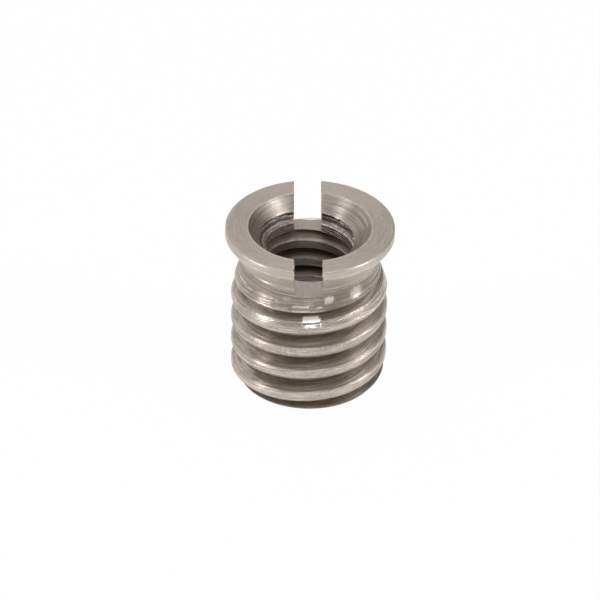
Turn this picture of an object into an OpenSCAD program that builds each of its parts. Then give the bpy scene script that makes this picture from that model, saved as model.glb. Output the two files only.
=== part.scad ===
// Thread adapter: a reducer bushing with a 3/8-16 UNC thread outside and a bore tapped 1/4-20 UNC.
// One turned piece, standing on its plain end, with a slotted flange that a coin or a screwdriver turns.

/* [Flange] */
// Overall height, from the plain end to the top of the flange
total_height = 10.25; // [9.5:0.05:12]
// Diameter of the flange
flange_d = 10; // [9.7:0.05:11]
// Height of the flange's rim
rim_height = 0.5; // [0.4:0.05:0.7]
// Bevel on the upper edge of the rim
rim_bevel = 0.08; // [0.04:0.01:0.15]
// Slope of the flange's underside, from the axis
underside_angle = 35; // [32:1:42]

/* [Neck] */
// Diameter of the plain neck under the flange
neck_d = 8.3; // [8.2:0.02:8.5]
// Fillet between the neck and the flange's underside
neck_fillet = 0.3; // [0.1:0.05:0.5]
// Depth below the top where the shoulder starts to widen towards the thread
shoulder_depth = 2.6; // [2.4:0.05:2.8]
// Slope of the shoulder, from the axis
shoulder_angle = 18; // [14:0.5:22]

/* [Outer thread] */
// Diameter over the crests
major_d = 9.28; // [9.24:0.02:9.5]
// Threads in an inch
threads_per_inch = 16; // [15:1:18]
// Radius of the rounded crest
crest_rounding = 0.6; // [0.4:0.01:0.65]
// Width of the groove's flat root
root_flat = 0.08; // [0.04:0.01:0.12]
// Angle between the flanks of the groove
flank_angle = 60; // [55:1:60]
// Depth below the top of the uppermost whole groove, on the front, in line with the slot
first_groove_depth = 3.45; // [3.3:0.01:3.6]
// Turn over which the groove runs out under the flange
runout_turn = 120; // [60:10:160]
// Width of the bevel at the plain end
end_bevel = 0.49; // [0.3:0.01:0.6]
// Height of the bevel at the plain end
end_bevel_height = 0.65; // [0.4:0.05:1.4]

/* [Bore] */
// Diameter of the bore, over the crests of its 1/4-20 UNC thread
bore_d = 5.2; // [4.98:0.01:5.25]
// Diameter of the countersink at the top
countersink_d = 7.3; // [7:0.02:7.5]
// Angle of the countersink, from side to side
countersink_angle = 90; // [82:1:100]
// Bevel of the bore at the plain end, wide enough to take in the thread's grooves
bore_bevel = 0.6; // [0.4:0.05:0.7]

/* [Bore thread] */
// Diameter over the grooves
bore_major_d = 6.38; // [6.35:0.01:6.45]
// Threads in an inch
bore_threads_per_inch = 20; // [18:1:21]
// Width of the groove's flat root
bore_root_flat = 0.08; // [0.05:0.01:0.12]
// Depth below the top of a crest's middle, at the back of the bore, in line with the slot
bore_crest_depth = 3; // [2.5:0.02:3.2]

/* [Driver slot] */
// Width of the slot
slot_w = 1.64; // [1.4:0.02:2]
// Depth of the slot
slot_depth = 2.2; // [2:0.02:2.4]
// Distance of the slot's middle from the axis
slot_offset = -0.12; // [-0.2:0.01:0.2]

/* [Hidden] */

round_fn = 96;
margin = 0.5;

flange_r = flange_d / 2;
neck_r = neck_d / 2;
major_r = major_d / 2;
bore_r = bore_d / 2;
countersink_r = countersink_d / 2;
countersink_slope = tan(countersink_angle / 2);

// Corner between the neck and the underside, and the fillet that rounds it
underside_height = (flange_r - neck_r) / tan(underside_angle);
neck_corner = [neck_r, total_height - rim_height - underside_height];
fillet_reach = neck_fillet * tan(underside_angle / 2);
fillet_top = neck_corner + fillet_reach * [sin(underside_angle), cos(underside_angle)];
fillet_bottom = neck_corner - [0, fillet_reach];
fillet_centre = fillet_bottom + [neck_fillet, 0];

shoulder_top = total_height - shoulder_depth;
shoulder_bottom = shoulder_top - (major_r - neck_r) / tan(shoulder_angle);

// Section of the groove: two flanks that run into the rounded crests above and below it
pitch = 25.4 / threads_per_inch;
flank_slope = tan(flank_angle / 2);
tangent_angle = 90 - flank_angle / 2;
crest_flattening = 0.015;
crest_land = 0.04;
crest_arc_r = major_r + crest_flattening - crest_rounding;
crest_arc_rise = (pitch - crest_land) / 2;
crest_steps = 3;
flank_r = crest_arc_r + crest_rounding * cos(tangent_angle);
flank_rise = crest_arc_rise - crest_rounding * sin(tangent_angle);
root_rise = root_flat / 2;
root_r = flank_r - (flank_rise - root_rise) / flank_slope;
cutter_reach = 0.2;
cutter_r = major_r + cutter_reach;

// The outer groove winds up from below the plain end and ends at the left of the neck
turn_steps = 48;
front = 270;
groove_turns = ceil((total_height - first_groove_depth + pitch / 2) / pitch);
groove_start = front - 360 * groove_turns;
groove_end = 540;

// Upper half of the outer groove's section, as [radius, rise above the middle], from its root outwards
half_section = [
    [root_r, root_rise],
    for (i = [0 : crest_steps])
        let (angle = tangent_angle * (1 - i / crest_steps))
        [crest_arc_r + crest_rounding * cos(angle), crest_arc_rise - crest_rounding * sin(angle)],
    [cutter_r, crest_arc_rise]
];

// Upper half of the bore groove's section, from its mouth inside the bore to its root
bore_pitch = 25.4 / bore_threads_per_inch;
bore_groove_r = bore_major_d / 2;
bore_mouth_r = bore_r - cutter_reach;
bore_half_section = [
    [bore_mouth_r, bore_root_flat / 2 + (bore_groove_r - bore_mouth_r) * flank_slope],
    [bore_groove_r, bore_root_flat / 2]
];

// The bore's groove winds from below the plain end to above the countersink's lower edge
bore_turn_steps = 36;
back = 90;
bore_groove_depth = bore_crest_depth + bore_pitch / 2;
countersink_depth = (countersink_r - bore_r) / countersink_slope;
turns_below = ceil((total_height - bore_groove_depth) / bore_pitch + 1);
turns_above = ceil((bore_groove_depth - countersink_depth) / bore_pitch + 0.5);
bore_groove_start = back - 360 * turns_below;
bore_groove_end = back + 360 * turns_above;

// Both sides of a groove's section from its upper half: the lower side from the outside in, then the upper
function whole_section(half) = [
    for (i = [len(half) - 1 : -1 : 0]) [half[i][0], -half[i][1]],
    for (point = half) point
];

// Share of the run-out that a helix has gone through at an angle
function runout_share(angle) = max(0, angle - groove_end + runout_turn) / runout_turn;

// A section's point, [radius, height], turned to an angle about the axis
function turned(angle, point) = [point[0] * cos(angle), point[0] * sin(angle), point[1]];

// Turned outline of the flange, the neck, the shoulder and the thread's crests
module blank_outline() {
    difference() {
        polygon([
            [0, 0],
            [major_r - end_bevel, 0],
            [major_r, end_bevel_height],
            [major_r, shoulder_bottom],
            [neck_r, shoulder_top],
            fillet_bottom,
            fillet_top,
            [flange_r, total_height - rim_height],
            [flange_r, total_height - rim_bevel],
            [flange_r - rim_bevel, total_height],
            [0, total_height]
        ]);
        translate(fillet_centre)
            circle(r = neck_fillet, $fn = round_fn);
    }
}

// Bore, with its countersink at the top and its bevel at the plain end
module bore() {
    translate([0, 0, -margin])
        cylinder(r = bore_r, h = total_height + 2 * margin, $fn = round_fn);
    translate([0, 0, total_height + margin])
        rotate([180, 0, 0])
            cone_cut(countersink_r + margin * countersink_slope, countersink_slope);
    translate([0, 0, -margin])
        cone_cut(bore_r + bore_bevel + margin, 1);
}

// Cone that stands on its wide end and narrows to the bore's radius
module cone_cut(wide_r, slope) {
    cylinder(r1 = wide_r, r2 = bore_r, h = (wide_r - bore_r) / slope, $fn = round_fn);
}

// Solid through sections that follow each other round a helix, closed at both ends
module swept(sections) {
    n = len(sections[0]);
    last = len(sections) - 1;
    points = [for (section = sections) each section];
    sides = [
        for (i = [0 : last - 1], k = [0 : n - 1])
            let (a = n * i + k, b = n * i + (k + 1) % n)
            each [[a, b + n, b], [a, a + n, b + n]]
    ];
    start_cap = [for (k = [0 : n - 1]) k];
    end_cap = [for (k = [n - 1 : -1 : 0]) n * last + k];
    polyhedron(points = points, faces = concat(sides, [start_cap, end_cap]), convexity = 10);
}

// Cutter of the outer thread, drawn out of the metal over the run-out
module outer_groove() {
    section = whole_section(half_section);
    front_height = total_height - first_groove_depth;
    swept([
        for (angle = [groove_start : 360 / turn_steps : groove_end])
            let (height = front_height + pitch * (angle - front) / 360)
            let (lift = (cutter_r - root_r) * runout_share(angle) ^ 2)
            [for (point = section) turned(angle, point + [lift, height])]
    ]);
}

// Cutter of the bore's thread, from end to end of the bore
module bore_groove() {
    section = whole_section(bore_half_section);
    back_height = total_height - bore_groove_depth;
    swept([
        for (angle = [bore_groove_start : 360 / bore_turn_steps : bore_groove_end])
            let (height = back_height + bore_pitch * (angle - back) / 360)
            [for (point = section) turned(angle, point + [0, height])]
    ]);
}

// Sawn slot across the flange, from front to back
module driver_slot() {
    translate([slot_offset - slot_w / 2, -flange_r - margin, total_height - slot_depth])
        cube([slot_w, flange_d + 2 * margin, slot_depth + margin]);
}

// The whole adapter, turned, threaded, bored and slotted from one bar
module adapter_body() {
    color("#b4aca4")
        difference() {
            rotate_extrude($fn = round_fn)
                blank_outline();
            outer_groove();
            bore();
            bore_groove();
            driver_slot();
        }
}

adapter_body();
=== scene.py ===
"""Thread adapter: the turned, threaded and slotted piece in satin steel, on a pale floor."""
import math

import bmesh
import bpy
from mathutils import Matrix, Vector, noise


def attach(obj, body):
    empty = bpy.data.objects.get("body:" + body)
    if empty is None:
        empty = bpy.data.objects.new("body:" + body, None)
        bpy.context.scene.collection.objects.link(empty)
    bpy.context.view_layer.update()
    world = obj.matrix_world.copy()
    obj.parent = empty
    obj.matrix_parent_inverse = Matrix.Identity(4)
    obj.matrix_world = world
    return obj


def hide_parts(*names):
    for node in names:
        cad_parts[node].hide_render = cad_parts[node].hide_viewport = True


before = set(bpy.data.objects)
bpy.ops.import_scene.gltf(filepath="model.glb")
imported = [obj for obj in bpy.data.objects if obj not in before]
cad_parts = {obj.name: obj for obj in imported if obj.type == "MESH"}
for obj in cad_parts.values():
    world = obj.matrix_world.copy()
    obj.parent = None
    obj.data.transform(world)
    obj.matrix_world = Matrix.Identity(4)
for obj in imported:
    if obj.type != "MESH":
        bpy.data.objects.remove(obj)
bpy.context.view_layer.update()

MM = 0.001
TAU = 2 * math.pi

# Sizes of the part in millimetres, as in the part's source
HEIGHT = 10.25
FLANGE_R = 5.0
RIM_HEIGHT = 0.5
RIM_BEVEL = 0.08
NECK_R = 4.15
NECK_FILLET = 0.3
UNDERSIDE_ANGLE = math.radians(35)
UNDERSIDE_SLOPE = math.tan(UNDERSIDE_ANGLE)
SHOULDER_TOP = HEIGHT - 2.6
SHOULDER_SLOPE = math.tan(math.radians(18))
MAJOR_R = 4.64
END_BEVEL = 0.49
END_BEVEL_HEIGHT = 0.65

PITCH = 1.5875
CREST_ROUNDING = 0.6
CREST_FLATTENING = 0.015
CREST_LAND = 0.04
ROOT_FLAT = 0.08
FLANK_SLOPE = math.tan(math.radians(30))
FIRST_GROOVE = HEIGHT - 3.45
FRONT = 270.0
GROOVE_END = 540.0
RUNOUT_TURN = 120.0

BORE_R = 2.6
BORE_BEVEL = 0.6
COUNTERSINK_R = 3.65
COUNTERSINK_FOOT = HEIGHT - (COUNTERSINK_R - BORE_R)
BORE_PITCH = 1.27
BORE_MAJOR_R = 3.19
BORE_ROOT_RISE = 0.04
BORE_GROOVE = HEIGHT - 3.0 - BORE_PITCH / 2
BACK = 90.0

SLOT_WIDTH = 1.64
SLOT_DEPTH = 2.2
SLOT_OFFSET = -0.12
SLOT_FLOOR = HEIGHT - SLOT_DEPTH
SLOT_LEFT, SLOT_RIGHT = SLOT_OFFSET - SLOT_WIDTH / 2, SLOT_OFFSET + SLOT_WIDTH / 2

# Fillet between the neck and the flange's underside
UNDERSIDE_FOOT = HEIGHT - RIM_HEIGHT - (FLANGE_R - NECK_R) / UNDERSIDE_SLOPE
FILLET_REACH = NECK_FILLET * math.tan(UNDERSIDE_ANGLE / 2)
FILLET_LOW = UNDERSIDE_FOOT - FILLET_REACH
FILLET_HIGH = UNDERSIDE_FOOT + FILLET_REACH * math.cos(UNDERSIDE_ANGLE)

# Section of the outer groove, from the middle of its root to the middle of a crest
CREST_ARC_R = MAJOR_R + CREST_FLATTENING - CREST_ROUNDING
CREST_ARC_RISE = (PITCH - CREST_LAND) / 2
TANGENT = math.radians(60)
FLANK_R = CREST_ARC_R + CREST_ROUNDING * math.cos(TANGENT)
FLANK_RISE = CREST_ARC_RISE - CREST_ROUNDING * math.sin(TANGENT)
ROOT_RISE = ROOT_FLAT / 2
ROOT_R = FLANK_R - (FLANK_RISE - ROOT_RISE) / FLANK_SLOPE
CUTTER_R = MAJOR_R + 0.2
BORE_MOUTH_RISE = BORE_ROOT_RISE + (BORE_MAJOR_R - BORE_R) * FLANK_SLOPE

# How finely the walls are drawn: columns round the axis, and steps or rows across each form
COLUMNS = 288
FLANK_STEPS = 3
ARC_STEPS = 6
BORE_FLANK_STEPS = 4
BORE_LAND_STEPS = 3
FILLET_ROWS = 8
UNDERSIDE_ROWS = 6
RIM_ROWS = 4
BEVEL_ROWS = 4
FACE_ROWS = 8
COUNTERSINK_ROWS = 32
END_ROWS = 6
SPIRAL_TOP = FILLET_LOW - 0.1
SEAM = 1e-6
CUTTER_SEAM = 1e-9
SHARP_ABOVE = math.radians(28)

# The saw's cut, and how its walls and floor waver
SAW_STATIONS = 200
SAW_WALL_ROWS = 10
SAW_FLOOR_ROWS = 8
SAW_OVERCUT = 0.4
CUT_TOP = HEIGHT + SAW_OVERCUT
SAW_WAVER, SAW_GRAIN = 0.032, 0.11
SAW_FLOOR_WAVER, SAW_FLOOR_GRAIN = 0.006, 0.1
FLOOR_BURR, FLOOR_BURR_GRAIN = 0.075, 0.15
FLOOR_BURR_FROM = NECK_R - 0.14

# The outer groove's band of brown painted shade, partly grime, from its middle down to the crest below and up to the
# crest above, and the burr along its lower edge
SHADED_BAND_LOW = -0.53
SHADED_BAND_HIGH = 0.29
EDGE_BURR = 0.014
EDGE_BURR_REACH = 0.05
EDGE_BURR_GRAIN = 0.35

# Seeds of the noise in the wavering forms
SEED_SLOT_LEFT, SEED_SLOT_FLOOR, SEED_SLOT_RIGHT, SEED_FLOOR_BURR = 3, 5, 7, 8
SEED_EDGE_BURR, SEED_LIP_HIGHLIGHT, SEED_SPOT_OUTLINE = 11, 21, 31

# Marks of use and making on the outer wall: angle, height, half length around, half height, depth, slant
MARKS = (
    (228, 8.46, 2.1, 0.045, 0.030, 0.0),
    (236, 8.30, 1.3, 0.030, 0.016, 0.02),
    (289.5, 7.78, 0.05, 0.42, 0.045, 0.0),
    (250, 4.50, 0.55, 0.035, 0.050, -0.35),
    (254, 4.24, 0.28, 0.040, 0.055, -0.55),
)

# Spots of painted highlight, with lower roughness: angle, height, half length around, half height, strength,
# squareness
HIGHLIGHT_SPOTS = (
    (271.0, 6.43, 0.54, 0.235, 1.0, 8),
    (311.0, 7.78, 0.66, 0.55, 0.70, 2),
    (285.6, 7.72, 0.34, 0.30, 0.60, 3),
    (251.0, 7.70, 0.34, 0.28, 0.22, 2.5),
    (234.5, 6.74, 0.34, 0.24, 0.5, 2),
    (268.0, 7.33, 0.90, 0.035, 1.0, 6),
    (262.0, 7.08, 1.60, 0.03, 0.6, 6),
    (205.0, 7.40, 1.00, 0.06, 0.5, 3),
)
CRISP_SPOT = 5
SPOT_RAGGED, SPOT_GRAIN = 0.9, 0.28

# Painted highlight, partly edge wear, on the lip over the first groove: how far it goes above and below the shoulder,
# its reach from the edge of the groove, its strength and its grain
LIP_ABOVE, LIP_BELOW = 0.3, 0.8
LIP_REACH = 0.02
LIP_STRENGTH = 0.5
LIP_GRAIN = 0.5

# Painted shade in the grooves, partly grime in the outer one: the depth at which the outer groove counts as deep, the
# height up to which the bore is shaded, how that fades, what its crests hold, and the share of its groove's depth that
# is wholly shaded
GROOVE_DEEP = 0.05
BORE_SHADE_TOP = HEIGHT - 1.7
BORE_SHADE_FADE = 0.6
BORE_CREST_SHADE = 0.35
BORE_SHADE_SHARE = 0.6

# Painted shade at the thread's foot, which faces the floor, and in a collar round the neck under the flange: heights
# and fades, and the collar's strength by angle
FOOT_SHADE_TOP, FOOT_SHADE_FADE = END_BEVEL_HEIGHT + 0.1, 0.25
COLLAR_TOP, COLLAR_TOP_FADE = FILLET_HIGH + 0.1, 0.7
COLLAR_BELOW, COLLAR_LOW_FADE = 0.9, 0.5
COLLAR_LEAST, COLLAR_MORE = 0.42, 0.38
COLLAR_ANGLE, COLLAR_SPREAD = 300, 30
ON_BLANK = 0.02

# Angles, in radians, at which an edge counts as wholly proud and as torn, and how far below the top edges are torn
PROUD_ANGLE = 0.6
TORN_ANGLE = 1.25
TORN_DEPTH = 1.6

# Radius beyond which a point is on the outside and not in the bore
OUTSIDE_R = BORE_MAJOR_R + 0.3


def between(low, high, steps):
    """Evenly spaced values above low, up to high."""
    return [low + (high - low) * i / steps for i in range(1, steps + 1)]


def clamp(x):
    """Nearest value between 0 and 1."""
    return min(1.0, max(0.0, x))


def smooth(x):
    """Ease between 0 and 1."""
    x = clamp(x)
    return x * x * (3 - 2 * x)


def waver(seed, a, b, scale):
    """Smooth noise between -1 and 1 over two lengths in millimetres."""
    return noise.noise(Vector((a / scale, b / scale, seed)))


def arc_between(angle, at):
    """Angle in radians by which one angle lies past another, both in degrees, the short way round."""
    return math.radians((angle - at + 180) % 360 - 180)


# Rises above the middle of a groove, in millimetres, at which its section is drawn
OUTER_RISES = (
    [ROOT_RISE]
    + between(ROOT_RISE, FLANK_RISE, FLANK_STEPS)
    + [CREST_ARC_RISE - CREST_ROUNDING * math.sin(a) for a in between(TANGENT, 0, ARC_STEPS)]
)
BORE_RISES = (
    [BORE_ROOT_RISE]
    + between(BORE_ROOT_RISE, BORE_MOUTH_RISE, BORE_FLANK_STEPS)
    + between(BORE_MOUTH_RISE, BORE_PITCH / 2, BORE_LAND_STEPS)[:-1]
)
COLUMN_ANGLES = [360.0 * c / COLUMNS for c in range(COLUMNS + 1)]


def groove_radius(angle, z):
    """Radius that the outer groove leaves at an angle in degrees and a height, before the blank limits it."""
    best = FLANGE_R
    turn = round((z - FIRST_GROOVE) / PITCH - (angle - FRONT) / 360)
    for step in (turn - 1, turn, turn + 1):
        total = angle + 360 * step
        if total > GROOVE_END:
            continue
        rise = abs(z - FIRST_GROOVE - PITCH * (total - FRONT) / 360)
        if rise <= ROOT_RISE:
            r = ROOT_R
        elif rise <= FLANK_RISE:
            r = ROOT_R + (rise - ROOT_RISE) / FLANK_SLOPE
        elif rise <= CREST_ARC_RISE:
            across = CREST_ARC_RISE - rise
            r = CREST_ARC_R + math.sqrt(max(0.0, CREST_ROUNDING ** 2 - across ** 2))
        else:
            continue
        run = max(0.0, total - GROOVE_END + RUNOUT_TURN) / RUNOUT_TURN
        best = min(best, r + (CUTTER_R - ROOT_R) * run * run)
    return best


def blank_radius(z):
    """Radius of the turned blank below the flange's rim."""
    if z < END_BEVEL_HEIGHT:
        return MAJOR_R - END_BEVEL * (1 - z / END_BEVEL_HEIGHT)
    if z > FILLET_HIGH:
        return NECK_R + (z - UNDERSIDE_FOOT) * UNDERSIDE_SLOPE
    if z > FILLET_LOW:
        return NECK_R + NECK_FILLET - math.sqrt(max(0.0, NECK_FILLET ** 2 - (z - FILLET_LOW) ** 2))
    return max(NECK_R, min(MAJOR_R, NECK_R + (SHOULDER_TOP - z) * SHOULDER_SLOPE))


def outer_radius(angle, z):
    """Radius of the outer wall at an angle and a height, with the groove's burr and the marks in it."""
    r = min(blank_radius(z), groove_radius(angle, z))
    turns = (z - FIRST_GROOVE) / PITCH - (angle - FRONT) / 360
    off_edge = abs((turns - math.floor(turns)) * PITCH - (PITCH + SHADED_BAND_LOW))
    if off_edge < EDGE_BURR_REACH and r < blank_radius(z) - EDGE_BURR:
        wave = waver(SEED_EDGE_BURR, math.radians(angle) * MAJOR_R, z * 0.2, EDGE_BURR_GRAIN)
        r += EDGE_BURR * (1 - off_edge / EDGE_BURR_REACH) * (0.6 + 0.8 * wave)
    for at, height, reach, half_height, depth, slant in MARKS:
        around = arc_between(angle, at) * MAJOR_R
        if abs(around) < reach:
            off = abs(z - height - slant * around) / half_height
            if off < 1:
                r -= depth * smooth(1 - off) * smooth(2 * (1 - abs(around) / reach))
    return r


def inner_radius(angle, z):
    """Radius of the tapped bore, its countersink and its end bevel, at an angle and a height."""
    turns = (z - BORE_GROOVE) / BORE_PITCH - (angle - BACK) / 360
    rise = abs(turns - round(turns)) * BORE_PITCH
    r = BORE_MAJOR_R - max(0.0, rise - BORE_ROOT_RISE) / FLANK_SLOPE
    return max(r, BORE_R, COUNTERSINK_R - (HEIGHT - z), BORE_R + BORE_BEVEL - z)


def helix_heights(angle, middle, start, pitch, rises, low, high):
    """Heights of one column of a grid whose rows follow a groove's helix, clamped to a span."""
    here = middle + pitch * (angle - start) / 360
    turn = math.floor((low - middle) / pitch) - 2
    heights = []
    while middle + pitch * turn < high + 2 * pitch:
        at = here + pitch * turn
        heights += [at - rise for rise in reversed(rises)] + [at + rise for rise in rises]
        turn += 1
    return [min(high, max(low, z)) for z in heights]


def outer_helix(angle):
    """Heights of one column of the outer wall up to the neck's fillet."""
    return helix_heights(angle, FIRST_GROOVE, FRONT, PITCH, OUTER_RISES, 0.0, SPIRAL_TOP)


def bore_helix(angle):
    """Heights of one column of the bore up to the countersink."""
    return helix_heights(angle, BORE_GROOVE, BACK, BORE_PITCH, BORE_RISES, 0.0, COUNTERSINK_FOOT)


def wall(radius, heights_of):
    """Columns of a wall of revolution whose radius varies with angle and height."""
    for angle in COLUMN_ANGLES:
        a = math.radians(angle)
        rows = [(radius(angle % 360, z), z) for z in heights_of(angle)]
        yield [(r * math.cos(a), r * math.sin(a), z) for r, z in rows]


def ring_wall(rings):
    """Columns of a surface of revolution through rings of radius and height."""
    for c in range(COLUMNS + 1):
        a = TAU * c / COLUMNS
        yield [(r * math.cos(a), r * math.sin(a), z) for r, z in rings]


def plain_end():
    """Columns of the flat end, from the outer wall in to the bore."""
    for angle in COLUMN_ANGLES:
        a = math.radians(angle)
        rim, hole = outer_radius(angle % 360, 0.0), inner_radius(angle % 360, 0.0)
        yield [(r * math.cos(a), r * math.sin(a), 0.0) for r in [rim] + between(rim, hole, END_ROWS)]


def flange_rings():
    """Rings of radius and height up the rim, over its rounded edge and across the top to the countersink."""
    rings = [(FLANGE_R, HEIGHT - RIM_HEIGHT)]
    rings += [(FLANGE_R, HEIGHT - RIM_HEIGHT + rise) for rise in between(0, RIM_HEIGHT - RIM_BEVEL, RIM_ROWS)]
    rings += [
        (FLANGE_R - RIM_BEVEL * (1 - math.cos(t)), HEIGHT - RIM_BEVEL * (1 - math.sin(t)))
        for t in between(0, math.pi / 2, BEVEL_ROWS)
    ]
    inward = between(0, COUNTERSINK_R - FLANGE_R + RIM_BEVEL, FACE_ROWS)
    return rings + [(FLANGE_R - RIM_BEVEL + step, HEIGHT) for step in inward]


# Orders of a grid's corners that turn its quads out of the metal on each kind of wall
OUTER_ORDER = (0, 1, 2, 3)
INNER_ORDER = (3, 2, 1, 0)
END_ORDER = (0, 3, 2, 1)


def add_grid(verts, faces, columns, order):
    """Adds a grid of quads through columns of points."""
    grid = []
    for column in columns:
        grid.append(range(len(verts), len(verts) + len(column)))
        verts += column
    for here, there in zip(grid, grid[1:]):
        for k in range(len(here) - 1):
            corners = (here[k], there[k], there[k + 1], here[k + 1])
            faces.append(tuple(corners[i] for i in order))


def body_mesh():
    """The turned and threaded body, closed, before its slot is sawn."""
    verts, faces = [], []
    under_flange = (
        [SPIRAL_TOP, (SPIRAL_TOP + FILLET_LOW) / 2, FILLET_LOW]
        + between(FILLET_LOW, FILLET_HIGH, FILLET_ROWS)
        + between(FILLET_HIGH, HEIGHT - RIM_HEIGHT, UNDERSIDE_ROWS)
    )
    countersink = [COUNTERSINK_FOOT] + between(COUNTERSINK_FOOT, HEIGHT, COUNTERSINK_ROWS)
    add_grid(verts, faces, wall(outer_radius, outer_helix), OUTER_ORDER)
    add_grid(verts, faces, wall(outer_radius, lambda angle: under_flange), OUTER_ORDER)
    add_grid(verts, faces, ring_wall(flange_rings()), OUTER_ORDER)
    add_grid(verts, faces, wall(inner_radius, bore_helix), INNER_ORDER)
    add_grid(verts, faces, wall(inner_radius, lambda angle: countersink), INNER_ORDER)
    add_grid(verts, faces, plain_end(), END_ORDER)
    return verts, faces


def place_object(name, data):
    """Puts new data into the scene as an object."""
    obj = bpy.data.objects.new(name, data)
    bpy.context.scene.collection.objects.link(obj)
    return obj


def make_object(name, verts, faces):
    """Puts a mesh whose points are in millimetres into the scene."""
    mesh = bpy.data.meshes.new(name)
    mesh.from_pydata([Vector(v) * MM for v in verts], [], faces)
    return place_object(name, mesh)


def merge(obj, distance):
    """Joins the seams of the grids and drops the faces that clamping has closed up."""
    bm = bmesh.new()
    bm.from_mesh(obj.data)
    bmesh.ops.remove_doubles(bm, verts=bm.verts, dist=distance)
    bmesh.ops.dissolve_degenerate(bm, dist=distance * 0.1, edges=bm.edges)
    bmesh.ops.recalc_face_normals(bm, faces=bm.faces)
    bm.to_mesh(obj.data)
    bm.free()


def sawn_wall(x, y, seed):
    """Section of a sawn wall from the top down, as places across and heights. It wavers less near the floor."""
    section = []
    for z in [CUT_TOP] + between(CUT_TOP, SLOT_FLOOR, SAW_WALL_ROWS):
        fade = smooth((z - SLOT_FLOOR) / 0.8 + 0.2)
        section.append((x + SAW_WAVER * waver(seed, y, z * 0.3, SAW_GRAIN) * fade, z))
    return section


def sawn_floor(y):
    """Section of the slot's floor from left to right, with the burr that the saw left at the back."""
    section = []
    for j in range(1, SAW_FLOOR_ROWS):
        x = SLOT_LEFT + SLOT_WIDTH * j / SAW_FLOOR_ROWS
        z = SLOT_FLOOR + SAW_FLOOR_WAVER * waver(SEED_SLOT_FLOOR, x, y * 0.15, SAW_FLOOR_GRAIN)
        if y > FLOOR_BURR_FROM:
            grown = smooth((x - SLOT_LEFT) / SLOT_WIDTH * 2.2 - 0.5)
            z += FLOOR_BURR * grown * (0.7 + 0.6 * waver(SEED_FLOOR_BURR, x, 0, FLOOR_BURR_GRAIN))
        section.append((x, z))
    return section


def slot_cutter():
    """The saw's cut, whose walls and floor waver, as a closed solid."""
    reach = FLANGE_R + SAW_OVERCUT
    verts = []
    for i in range(SAW_STATIONS + 1):
        y = -reach + 2 * reach * i / SAW_STATIONS
        left = sawn_wall(SLOT_LEFT, y, SEED_SLOT_LEFT)
        right = sawn_wall(SLOT_RIGHT, y, SEED_SLOT_RIGHT)
        verts += [(x, y, z) for x, z in left + sawn_floor(y) + right[::-1]]
    n = len(verts) // (SAW_STATIONS + 1)
    faces = [
        (n * i + k, n * i + (k + 1) % n, n * (i + 1) + (k + 1) % n, n * (i + 1) + k)
        for i in range(SAW_STATIONS) for k in range(n)
    ]
    last = n * SAW_STATIONS
    faces += [tuple(reversed(range(n))), tuple(range(last, last + n))]
    cutter = make_object("slot_cutter", verts, faces)
    merge(cutter, CUTTER_SEAM)
    return cutter


def cut(obj, cutter):
    """Takes the cutter out of the object and removes the cutter."""
    change = obj.modifiers.new("slot", "BOOLEAN")
    change.operation = "DIFFERENCE"
    change.object = cutter
    change.solver = "EXACT"
    change.material_mode = "TRANSFER"
    graph = bpy.context.evaluated_depsgraph_get()
    made = bpy.data.meshes.new_from_object(obj.evaluated_get(graph))
    obj.modifiers.clear()
    obj.data = made
    bpy.data.objects.remove(cutter)


def edge_values(mesh):
    """Per point: how sharply it stands out, and whether it lies on an edge that the saw has torn."""
    bm = bmesh.new()
    bm.from_mesh(mesh)
    proud, torn = [], []
    for v in bm.verts:
        bends = [e.calc_face_angle_signed(0.0) for e in v.link_edges if len(e.link_faces) == 2]
        sharpest = max(bends, default=0.0)
        proud.append(clamp(sharpest / PROUD_ANGLE))
        torn.append(1.0 if sharpest > TORN_ANGLE and v.co.z / MM > HEIGHT - TORN_DEPTH else 0.0)
    bm.free()
    return proud, torn


def recess_at(r, z):
    """How deep a point lies in either thread, from 0 to 1, and in the bore how far down; it sets the painted shade."""
    if r > BORE_MAJOR_R + 0.1:
        return clamp((blank_radius(z) - r) / GROOVE_DEEP) if z < FILLET_LOW else 0.0
    down = clamp((BORE_SHADE_TOP - z) / BORE_SHADE_FADE)
    into = clamp((r - BORE_R) / (BORE_SHADE_SHARE * (BORE_MAJOR_R - BORE_R)))
    return down * (BORE_CREST_SHADE + (1 - BORE_CREST_SHADE) * into)


def painted_shade_at(r, angle, z):
    """Painted shade outside the grooves: at the thread's foot, and as a collar round the neck under the flange, most
    at the front right.
    """
    foot = smooth((FOOT_SHADE_TOP - z) / FOOT_SHADE_FADE) if r > OUTSIDE_R else 0.0
    collar = smooth((COLLAR_TOP - z) / COLLAR_TOP_FADE) * smooth((z - SHOULDER_TOP + COLLAR_BELOW) / COLLAR_LOW_FADE)
    collar *= COLLAR_LEAST + COLLAR_MORE * smooth(1.2 - abs(angle % 360 - COLLAR_ANGLE) / COLLAR_SPREAD)
    on_blank = abs(r - blank_radius(z)) < ON_BLANK
    return max(foot, collar if on_blank else 0.0)


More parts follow.
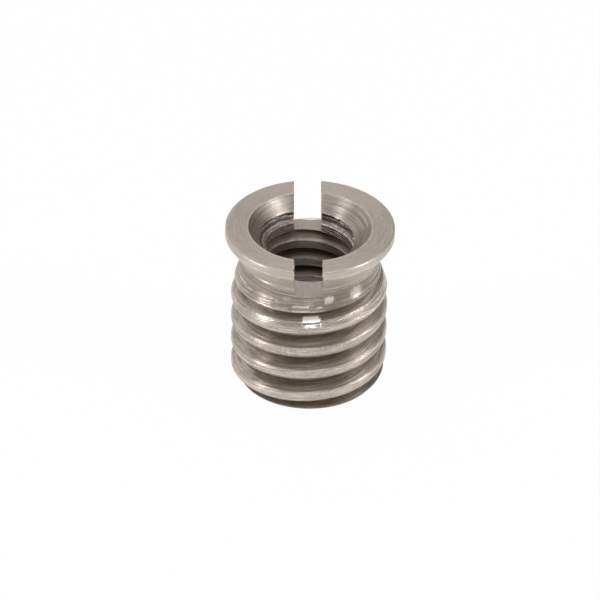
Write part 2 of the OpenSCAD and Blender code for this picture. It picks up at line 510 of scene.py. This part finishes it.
def highlight_and_wear_at(x, y, z, r, angle):
    """How much painted highlight, partly edge wear, a point takes: the lip over the first groove, the spots and the
    burr on the slot's floor.
    """
    outside = r > OUTSIDE_R
    around = math.radians(angle) * r
    best = 0.0
    if outside and SHOULDER_TOP - LIP_BELOW < z < SHOULDER_TOP + LIP_ABOVE:
        off = abs(groove_radius(angle % 360, z) - blank_radius(z))
        patchy = clamp(0.3 + 2.0 * waver(SEED_LIP_HIGHLIGHT, around, z, LIP_GRAIN))
        best = LIP_STRENGTH * clamp(1 - off / LIP_REACH) * patchy
    for at, height, reach, half_height, strength, squareness in HIGHLIGHT_SPOTS:
        aside = abs(arc_between(angle, at)) * r
        out = (aside / reach) ** squareness + (abs(z - height) / half_height) ** squareness
        if squareness < CRISP_SPOT:
            out += SPOT_RAGGED * abs(waver(SEED_SPOT_OUTLINE, around, z * 1.6, SPOT_GRAIN))
        if outside and out < 1:
            best = max(best, strength * smooth((squareness - 1) * (1 - out)))
    over_burr = abs(x - SLOT_OFFSET) < SLOT_WIDTH / 2 - 0.05 and y > NECK_R - 0.3
    return 1.0 if over_burr and SLOT_FLOOR + 0.012 < z < SLOT_FLOOR + 0.15 else best


def set_attributes(mesh):
    """Gives each point its recess, painted shade, proud, torn and painted highlight values, which the materials read.
    """
    recess, painted_shade, highlight_and_wear = [], [], []
    for v in mesh.vertices:
        x, y, z = (c / MM for c in v.co)
        r, angle = math.hypot(x, y), math.degrees(math.atan2(y, x))
        recess.append(recess_at(r, z))
        painted_shade.append(painted_shade_at(r, angle, z))
        highlight_and_wear.append(highlight_and_wear_at(x, y, z, r, angle))
    proud, torn = edge_values(mesh)
    values = {"recess": recess, "painted_shade": painted_shade, "proud": proud, "torn": torn, "highlight_and_wear": highlight_and_wear}
    for name, column in values.items():
        mesh.attributes.new(name, "FLOAT", "POINT").data.foreach_set("value", column)


class Nodes:
    """Short forms for building a node tree."""

    def __init__(self, owner):
        owner.use_nodes = True
        self.tree = owner.node_tree
        self.tree.nodes.clear()

    def new(self, kind, **settings):
        node = self.tree.nodes.new(kind)
        for key, value in settings.items():
            setattr(node, key, value)
        return node

    def link(self, value, socket):
        if isinstance(value, bpy.types.NodeSocket):
            self.tree.links.new(value, socket)
        else:
            socket.default_value = value

    def fill(self, node, values):
        for value, socket in zip(values, node.inputs):
            self.link(value, socket)
        return node.outputs[0]

    def math(self, operation, *values):
        return self.fill(self.new("ShaderNodeMath", operation=operation), values)

    def plus(self, a, b):
        return self.math("ADD", a, b)

    def minus(self, a, b):
        return self.math("SUBTRACT", a, b)

    def times(self, a, b):
        return self.math("MULTIPLY", a, b)

    def over(self, a, b):
        return self.math("DIVIDE", a, b)

    def vector(self, x, y, z):
        return self.fill(self.new("ShaderNodeCombineXYZ"), (x, y, z))

    def split(self, vector):
        node = self.new("ShaderNodeSeparateXYZ")
        self.link(vector, node.inputs[0])
        return tuple(node.outputs)

    def noise(self, vector, scale, detail, roughness):
        node = self.new("ShaderNodeTexNoise")
        self.link(vector, node.inputs["Vector"])
        node.inputs["Scale"].default_value = scale
        node.inputs["Detail"].default_value = detail
        node.inputs["Roughness"].default_value = roughness
        return node.outputs[0]

    def ramp(self, value, low, high, to_low=0.0, to_high=1.0):
        return self.fill(self.new("ShaderNodeMapRange", clamp=True), (value, low, high, to_low, to_high))

    def mix(self, factor, a, b):
        node = self.new("ShaderNodeMix", data_type="RGBA")
        self.link(factor, node.inputs[0])
        self.link(a, node.inputs[6])
        self.link(b, node.inputs[7])
        return node.outputs[2]

    def mix_value(self, factor, a, b):
        node = self.new("ShaderNodeMix", data_type="FLOAT")
        self.link(factor, node.inputs[0])
        self.link(a, node.inputs[2])
        self.link(b, node.inputs[3])
        return node.outputs[0]

    def attribute(self, name):
        return self.new("ShaderNodeAttribute", attribute_name=name).outputs["Fac"]


def shade(colour, level):
    """A colour made lighter or darker."""
    return tuple(min(1.0, level * c) for c in colour)


def rgba(colour, level=1.0):
    """A colour made lighter or darker, with its alpha."""
    return shade(colour, level) + (1,)


# Colours of the metal, of the brown painted shade in its grooves (partly grime), of its painted highlights, of the
# bore, darker as painted shade inside the hole, and of the painted shade and glints on torn edges
STEEL = (0.635, 0.557, 0.492)
HIGHLIGHT_WHITE = (1.0, 0.93, 0.87)
SHADE_BROWN = (0.195, 0.149, 0.112)
TAPPED_SHADED = (0.30, 0.252, 0.215)
CHATTER_HIGHLIGHT = (0.80, 0.72, 0.65)
TORN_SHADE = (0.12, 0.095, 0.09)
BORE_SHADE = (0.058, 0.045, 0.037)

# How fine each tool's lines are, how hard they run along its path, and the lines of chatter to a turn of the tap
LINE_SCALE = {"faced": 2.0, "rings": 2.2, "thread": 0.62, "bore": 1.0, "sawn": 2.0}
RING_LINES = 7.0
RING_TILT = 0.83
RING_SWING = {"faced": 3.0, "rings": 0.45}
SAW_LINES, SAW_STROKE = 7.0, 0.7
HELIX = {"thread": (PITCH, 4.8), "bore": (BORE_PITCH, 3.6)}
HELIX_SWING = 5.0
HELIX_DRIFT = 1.1
CHATTER_LINES = 8

# Noise of the metal's tones: scales of its patches, specks and torn chips
PATCH_SCALE = 0.7
SPECK_SCALE = 6.0
CHIP_SCALE = 7.0

# How far the edge of the groove's painted shade wavers, how much less of it the uppermost groove holds, in
# millimetres, and how far round it goes, as cosines of the angle from the front
SHADED_BAND_WAVER = 0.16
LESS_SHADE_HEIGHTS = (5.5, 6.1)
LESS_SHADE_BY = 0.20
SIDE_SHADE, FACING_SIDE, FACING_FRONT = 0.3, 0.55, 0.85

# Share of metal that the painted shade takes away, and what the painted shade and the highlight spots do to the
# roughness
SHADE_DULLING = 0.45
TONE_GLOSS = 0.08
SHADE_GLOSS = 0.15
HIGHLIGHT_SPOT_GLOSS = 0.17
ANISOTROPIC_TURN = 0.25


def tool_marks(n, kind):
    """Place in millimetres, height, angle about the axis, and a vector whose noise runs along the tool's path."""
    x, y, z = (n.times(axis, 1 / MM) for axis in n.split(n.new("ShaderNodeTexCoord").outputs["Object"]))
    here = n.vector(x, y, z)
    angle = n.math("ARCTAN2", y, x)
    if kind == "sawn":
        lines = n.vector(n.times(x, SAW_LINES), n.times(y, SAW_STROKE), n.times(z, SAW_LINES))
        return here, z, angle, lines
    r = n.math("SQRT", n.plus(n.times(x, x), n.times(y, y)))
    around_x, around_y = n.over(x, r), n.over(y, r)
    if kind in RING_SWING:
        swing = RING_SWING[kind]
        across = n.times(n.plus(r, n.times(z, RING_TILT)), RING_LINES)
        return here, z, angle, n.vector(across, n.times(around_x, swing), n.times(around_y, swing))
    pitch, reach = HELIX[kind]
    phase = n.minus(n.times(z, TAU / pitch), angle)
    lines = n.vector(
        n.plus(n.times(n.math("COSINE", phase), reach), n.times(around_x, HELIX_SWING)),
        n.plus(n.times(n.math("SINE", phase), reach), n.times(around_y, HELIX_SWING)),
        n.times(z, HELIX_DRIFT),
    )
    return here, z, angle, lines


def shade_of_groove(n, z, angle, streak):
    """Share of painted shade, partly grime, by the place across the outer groove, with a crisp, wavering edge at the
    crest below.
    """
    turns = n.minus(n.over(n.minus(z, FIRST_GROOVE), PITCH), n.over(n.minus(angle, math.radians(FRONT)), TAU))
    rise = n.times(n.minus(n.math("FRACT", n.plus(turns, 0.5)), 0.5), PITCH)
    rise = n.plus(rise, n.times(n.minus(streak, 0.5), SHADED_BAND_WAVER))
    cleaner = n.ramp(z, *LESS_SHADE_HEIGHTS, 0.0, LESS_SHADE_BY)
    low = n.ramp(n.minus(rise, cleaner), SHADED_BAND_LOW - 0.015, SHADED_BAND_LOW + 0.05)
    high = n.ramp(rise, SHADED_BAND_HIGH - 0.05, SHADED_BAND_HIGH + 0.03, 1.0, 0.0)
    return n.times(low, high)


def chatter_of_bore(n, z, angle, patches, fine):
    """Lines that the chattering tap left along its path, which take a painted highlight."""
    phase = n.minus(n.times(z, TAU / BORE_PITCH), angle)
    swing = n.plus(n.times(phase, CHATTER_LINES), n.times(patches, 3.5))
    return n.times(n.ramp(n.math("SINE", swing), 0.0, 0.5), n.ramp(fine, 0.35, 0.55, 0.3, 1.0))


def front_of_thread(n, angle, patches):
    """Share of painted shade in the outer groove by how far it faces the front, most at the front, least at the sides.
    """
    facing = n.math("COSINE", n.minus(angle, math.radians(FRONT)))
    return n.ramp(n.plus(facing, n.times(n.minus(patches, 0.5), 0.5)), FACING_SIDE, FACING_FRONT, SIDE_SHADE, 1.0)


def steel(name, kind, bright, shade_colour, roughness, depth, anisotropy, groove_shade, contrast):
    """Machined steel: tool marks in its relief, gloss and tone, brown painted shade in its recesses, partly grime, and
    painted highlights.
    """
    material = bpy.data.materials.new(name)
    n = Nodes(material)
    out = n.new("ShaderNodeOutputMaterial")
    shader = n.new("ShaderNodeBsdfPrincipled")
    n.link(shader.outputs[0], out.inputs[0])

    # Lines of the tool, and the metal's clean tones
    here, z, angle, lines = tool_marks(n, kind)
    fine = n.noise(lines, LINE_SCALE[kind], 3.0, 0.7)
    broad = n.noise(lines, LINE_SCALE[kind] * 0.4, 2.0, 0.5)
    patches = n.noise(here, PATCH_SCALE, 3.0, 0.6)
    specks = n.noise(here, SPECK_SCALE, 2.0, 0.6)
    streak = n.plus(n.times(fine, 0.75), n.times(broad, 0.25))
    streak = n.plus(streak, n.times(n.minus(specks, 0.5), 0.10))
    tone = n.ramp(streak, 0.40, 0.60)
    dull, glossy = rgba(bright, 1 - contrast), rgba(bright, 1 + 0.4 * contrast)
    clean = n.mix(tone, dull, glossy)
    clean = n.mix(n.ramp(patches, 0.45, 0.65, 0.0, contrast), clean, dull)

    # Painted shade in the recesses, partly grime, and a painted highlight on the bore's chatter lines, brighter
    # towards the bore's mouth
    recess = n.times(n.attribute("recess"), groove_shade)
    if kind == "bore":
        chatter = chatter_of_bore(n, z, angle, patches, fine)
        upper = n.ramp(z, HEIGHT - 2.6, HEIGHT - 1.7, 0.5, 1.0)
        clean = n.mix(n.times(chatter, upper), clean, rgba(CHATTER_HIGHLIGHT))
        recess = n.times(recess, n.ramp(chatter, 0.0, 1.0, 1.0, 0.40))
    if kind == "thread":
        recess = n.times(recess, shade_of_groove(n, z, angle, streak))
        recess = n.times(recess, front_of_thread(n, angle, patches))
    if kind != "bore":
        recess = n.math("MAXIMUM", recess, n.attribute("painted_shade"))
    recess = n.times(recess, n.ramp(n.times(tone, patches), 0.1, 0.6, 1.0, 0.84))
    shaded = n.mix(recess, clean, n.mix(tone, rgba(shade_colour, 0.8), rgba(shade_colour, 1.25)))

    # Painted highlight on proud edges, partly edge wear, painted shade and glints on torn edges, and painted highlight
    # spots
    edge = n.times(n.attribute("proud"), n.ramp(specks, 0.35, 0.6, 0.2, 0.9))
    if kind != "bore":
        edge = n.times(edge, n.ramp(recess, 0.1, 0.6, 1.0, 0.1))
    edged = n.mix(edge, shaded, rgba(STEEL, 1.35))
    chips = n.noise(here, CHIP_SCALE, 2.0, 0.6)
    torn = n.mix(n.ramp(chips, 0.50, 0.60), rgba(TORN_SHADE), rgba(HIGHLIGHT_WHITE))
    edged = n.mix(n.ramp(n.attribute("torn"), 0.15, 0.6, 0.0, 0.8), edged, torn)
    spot = n.times(n.attribute("highlight_and_wear"), n.ramp(streak, 0.38, 0.52, 0.8, 1.0))
    n.link(n.mix(spot, edged, rgba(HIGHLIGHT_WHITE)), shader.inputs["Base Color"])
    n.link(n.minus(1.0, n.times(recess, SHADE_DULLING)), shader.inputs["Metallic"])

    # Gloss, stretched round the axis where the metal was turned
    gloss = n.ramp(tone, 0.0, 1.0, roughness + TONE_GLOSS, roughness - TONE_GLOSS)
    gloss = n.minus(n.plus(gloss, n.times(recess, SHADE_GLOSS)), n.times(spot, HIGHLIGHT_SPOT_GLOSS))
    n.link(gloss, shader.inputs["Roughness"])
    shader.inputs["Anisotropic"].default_value = anisotropy
    if kind != "sawn":
        shader.inputs["Anisotropic Rotation"].default_value = ANISOTROPIC_TURN
        tangent = n.new("ShaderNodeTangent", direction_type="RADIAL", axis="Z")
        n.link(tangent.outputs[0], shader.inputs["Tangent"])

    # Relief, flatter on the painted highlight spots
    height = n.plus(fine, n.times(specks, 0.2))
    if kind == "bore":
        height = n.plus(height, n.times(chatter, 0.8))
    bump = n.new("ShaderNodeBump")
    bump.inputs["Strength"].default_value = 1.0
    bump.inputs["Distance"].default_value = depth * MM
    n.link(n.times(height, n.minus(1.0, n.times(spot, 0.7))), bump.inputs["Height"])
    n.link(bump.outputs[0], shader.inputs["Normal"])
    return material


# Each finish: name, kind, colour, painted shade's colour, roughness, relief in millimetres, anisotropy, painted shade
# in the grooves, and contrast of its tones
FINISHES = (
    ("faced_steel", "faced", STEEL, SHADE_BROWN, 0.42, 0.006, 0.6, 0.0, 0.12),
    ("turned_steel", "rings", shade(STEEL, 0.95), SHADE_BROWN, 0.37, 0.016, 0.6, 1.0, 0.48),
    ("thread_steel", "thread", shade(STEEL, 1.06), SHADE_BROWN, 0.31, 0.040, 0.5, 0.95, 0.50),
    ("tapped_steel", "bore", TAPPED_SHADED, BORE_SHADE, 0.30, 0.030, 0.4, 1.0, 0.6),
    ("sawn_steel", "sawn", shade(STEEL, 0.88), SHADE_BROWN, 0.34, 0.007, 0.3, 0.0, 0.08),
)
TURNED, THREADED, TAPPED_WALL, FACED = range(4)


def finish_of(r, z):
    """Index of the finish at a radius and a height."""
    cone_r = COUNTERSINK_R - (HEIGHT - z)
    if r < BORE_MAJOR_R and z < HEIGHT - 0.5 and r < cone_r + 1.5:
        return TURNED if abs(r - cone_r) < 0.01 and z > COUNTERSINK_FOOT else TAPPED_WALL
    if 0.02 < z < SHOULDER_TOP - 0.1 and r > 3.3:
        return THREADED
    if z > FILLET_LOW and r > COUNTERSINK_R - 0.01:
        return FACED
    return TURNED


def make_body():
    """The adapter, turned, threaded, tapped and slotted, with its finishes, its marks, and its painted shade and
    highlights.
    """
    faced, turned, threaded, tapped, sawn = (steel(*finish) for finish in FINISHES)
    body = make_object("adapter_turned_body", *body_mesh())
    merge(body, SEAM)
    for material in (turned, threaded, tapped, faced):
        body.data.materials.append(material)
    for face in body.data.polygons:
        centre = face.center / MM
        face.material_index = finish_of(math.hypot(centre.x, centre.y), centre.z)
    cutter = slot_cutter()
    cutter.data.materials.append(sawn)
    cut(body, cutter)
    for face in body.data.polygons:
        face.use_smooth = True
    body.data.set_sharp_from_angle(angle=SHARP_ABOVE)
    set_attributes(body.data)
    return body


body = make_body()
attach(body, "root")
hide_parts("adapter_body")

# Floor: half its width in metres, how far it lies below the part, its colour, and how bright the camera and the
# metal see it
FLOOR_REACH = 0.6
FLOOR_DROP = 0.00001
FLOOR_COLOUR = (0.8, 0.8, 0.8, 1)
FLOOR_GLOW = 0.97
FLOOR_SHINE = 0.66


def floor_material():
    """White to the camera and to mirrored rays, and plainly lit for the light that it throws on the part."""
    material = bpy.data.materials.new("floor_white")
    n = Nodes(material)
    path = n.new("ShaderNodeLightPath")
    lit = n.new("ShaderNodeBsdfDiffuse")
    lit.inputs[0].default_value = FLOOR_COLOUR
    glow = n.new("ShaderNodeEmission")
    mirrored = n.math("MAXIMUM", path.outputs["Is Glossy Ray"], path.outputs["Is Transmission Ray"])
    seen = n.plus(n.times(path.outputs["Is Camera Ray"], FLOOR_GLOW), n.times(mirrored, FLOOR_SHINE))
    blend = n.fill(n.new("ShaderNodeMixShader"), (seen, lit.outputs[0], glow.outputs[0]))
    n.link(blend, n.new("ShaderNodeOutputMaterial").inputs[0])
    return material


def make_floor():
    """A plain white floor just below the part."""
    mesh = bpy.data.meshes.new("floor")
    corners = [(x * FLOOR_REACH, y * FLOOR_REACH, 0) for x, y in ((-1, -1), (1, -1), (1, 1), (-1, 1))]
    mesh.from_pydata(corners, [], [(0, 1, 2, 3)])
    mesh.materials.append(floor_material())
    floor = place_object("floor", mesh)
    floor.location.z = -FLOOR_DROP
    return floor


floor = make_floor()

# The studio's levels: from the front, at the horizon and above it elsewhere, and what is added overhead
FRONT_LEVEL = 0.26
HORIZON_LEVEL, SKY_LEVEL = 0.32, 0.63
OVERHEAD_LEVEL = 0.6


def make_world():
    """A soft studio, the same for every ray, that is darker near the horizon and lighter at the back left."""
    world = bpy.data.worlds.new("studio")
    n = Nodes(world)
    out = n.new("ShaderNodeOutputWorld")
    back = n.new("ShaderNodeBackground")
    back.inputs[0].default_value = (1, 1, 1, 1)
    x, y, z = n.split(n.new("ShaderNodeTexCoord").outputs["Generated"])
    front = n.ramp(y, -0.55, 0.1, 1.0, 0.0)
    level = n.mix_value(front, n.ramp(z, 0.15, 0.5, HORIZON_LEVEL, SKY_LEVEL), FRONT_LEVEL)
    corner = n.times(n.ramp(x, 0.15, 0.4), n.ramp(y, 0.2, 0.45))
    corner = n.times(corner, n.ramp(z, 0.25, 0.5, 0.8, 0.0))
    aside = n.times(n.ramp(x, -0.4, 0.3, 0.20, -0.12), n.ramp(y, 0.1, 0.4))
    extra = n.plus(n.ramp(z, 0.80, 0.95, 0.0, OVERHEAD_LEVEL), aside)
    n.link(n.times(n.plus(level, extra), n.minus(1.0, corner)), back.inputs[1])
    n.link(back.outputs[0], out.inputs[0])
    return world


bpy.context.scene.world = make_world()

# Soft boxes: name, azimuth, elevation, size in millimetres, and brightness, with 1 as white
LAMPS = (
    ("left_strip", 200, 17, (36, 104), 11.5),
    ("right_strip", 341, 21, (44, 116), 9.4),
    ("front_box", 270, 60, (110, 44), 1.25),
    ("front_low", 271, 12, (26, 60), 6.2),
)
LAMP_DISTANCE = 220
LAMP_TARGET = Vector((0, 0, 5))


def soft_box(name, azimuth, elevation, size, strength):
    """A lamp in a direction seen from the part, turned to it and hidden from the camera."""
    a, e = math.radians(azimuth), math.radians(elevation)
    away = Vector((math.cos(a) * math.cos(e), math.sin(a) * math.cos(e), math.sin(e)))
    data = bpy.data.lights.new(name, "AREA")
    data.shape = "RECTANGLE"
    data.size, data.size_y = size[0] * MM, size[1] * MM
    data.energy = strength * math.pi * size[0] * size[1] * MM * MM
    lamp = place_object(name, data)
    lamp.location = (away * LAMP_DISTANCE + LAMP_TARGET) * MM
    lamp.visible_camera = False
    lamp.rotation_mode = "QUATERNION"
    lamp.rotation_quaternion = (LAMP_TARGET * MM - lamp.location).to_track_quat("-Z", "Y")


for settings in LAMPS:
    soft_box(*settings)

# Camera, solved from the photo's outlines: elevation, distance, scale, place of the flange's middle, roll and turn
ELEVATION = math.radians(34.4276)
DISTANCE = 288.0
PIXELS_PER_MM = 16.98029
FLANGE_PIXEL = (310.08896, 226.22623)
ROLL = 0.0117421
TURN = math.radians(-0.63)
IMAGE = 600
SENSOR = 36.0
CLIP = (0.01, 10.0)


def make_camera():
    """The photo's camera, which looks down on the front of the part."""
    forward = Vector((0, math.cos(ELEVATION), -math.sin(ELEVATION)))
    upward = Vector((0, math.sin(ELEVATION), math.cos(ELEVATION)))
    sideways = Vector((1, 0, 0))
    cam_x = sideways * math.cos(ROLL) + upward * math.sin(ROLL)
    cam_y = upward * math.cos(ROLL) - sideways * math.sin(ROLL)
    spin = Matrix.Rotation(TURN, 3, "Z")
    forward, cam_x, cam_y = spin @ forward, spin @ cam_x, spin @ cam_y
    across = (FLANGE_PIXEL[0] - IMAGE / 2) / PIXELS_PER_MM
    down = (FLANGE_PIXEL[1] - IMAGE / 2) / PIXELS_PER_MM
    place = Vector((0, 0, HEIGHT)) - cam_x * across + cam_y * down - forward * DISTANCE
    data = bpy.data.cameras.new("camera")
    data.sensor_width = SENSOR
    data.lens = SENSOR * PIXELS_PER_MM * DISTANCE / IMAGE
    data.clip_start, data.clip_end = CLIP
    camera = place_object("camera", data)
    turned = Matrix((cam_x, cam_y, -forward)).transposed()
    camera.matrix_world = Matrix.Translation(place * MM) @ turned.to_4x4()
    return camera


bpy.context.scene.camera = make_camera()
bpy.context.scene.view_settings.view_transform = "Standard"
